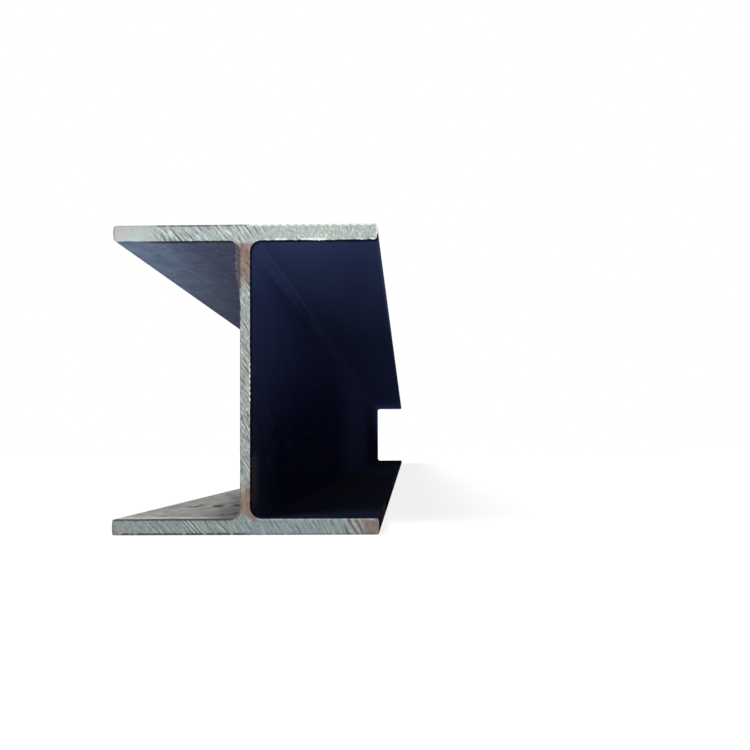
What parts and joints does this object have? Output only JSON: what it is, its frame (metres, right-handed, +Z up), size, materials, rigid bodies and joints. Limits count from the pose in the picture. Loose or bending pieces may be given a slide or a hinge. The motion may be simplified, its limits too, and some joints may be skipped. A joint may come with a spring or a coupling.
{
  "type": "steel h-beam",
  "caption": "Hot-rolled steel H-beam: two wide parallel flanges joined by an upright web with root fillets, sawn square at both ends.",
  "frame": {"origin": "middle of the beam's length, on the underside of the bottom flange, below the web", "axes": "+Y along the beam's length, +X across the flanges, +Z up the web from the bottom flange to the top flange"},
  "size_m": [0.3, 6, 0.35],
  "materials": {
    "mill_scale_steel": "hot-rolled mill scale, blue-black and dull, with bare grey sawn ends and light rust"
  },
  "bodies": {
    "root": {"h_beam": "mill_scale_steel"}
  },
  "joints": []
}
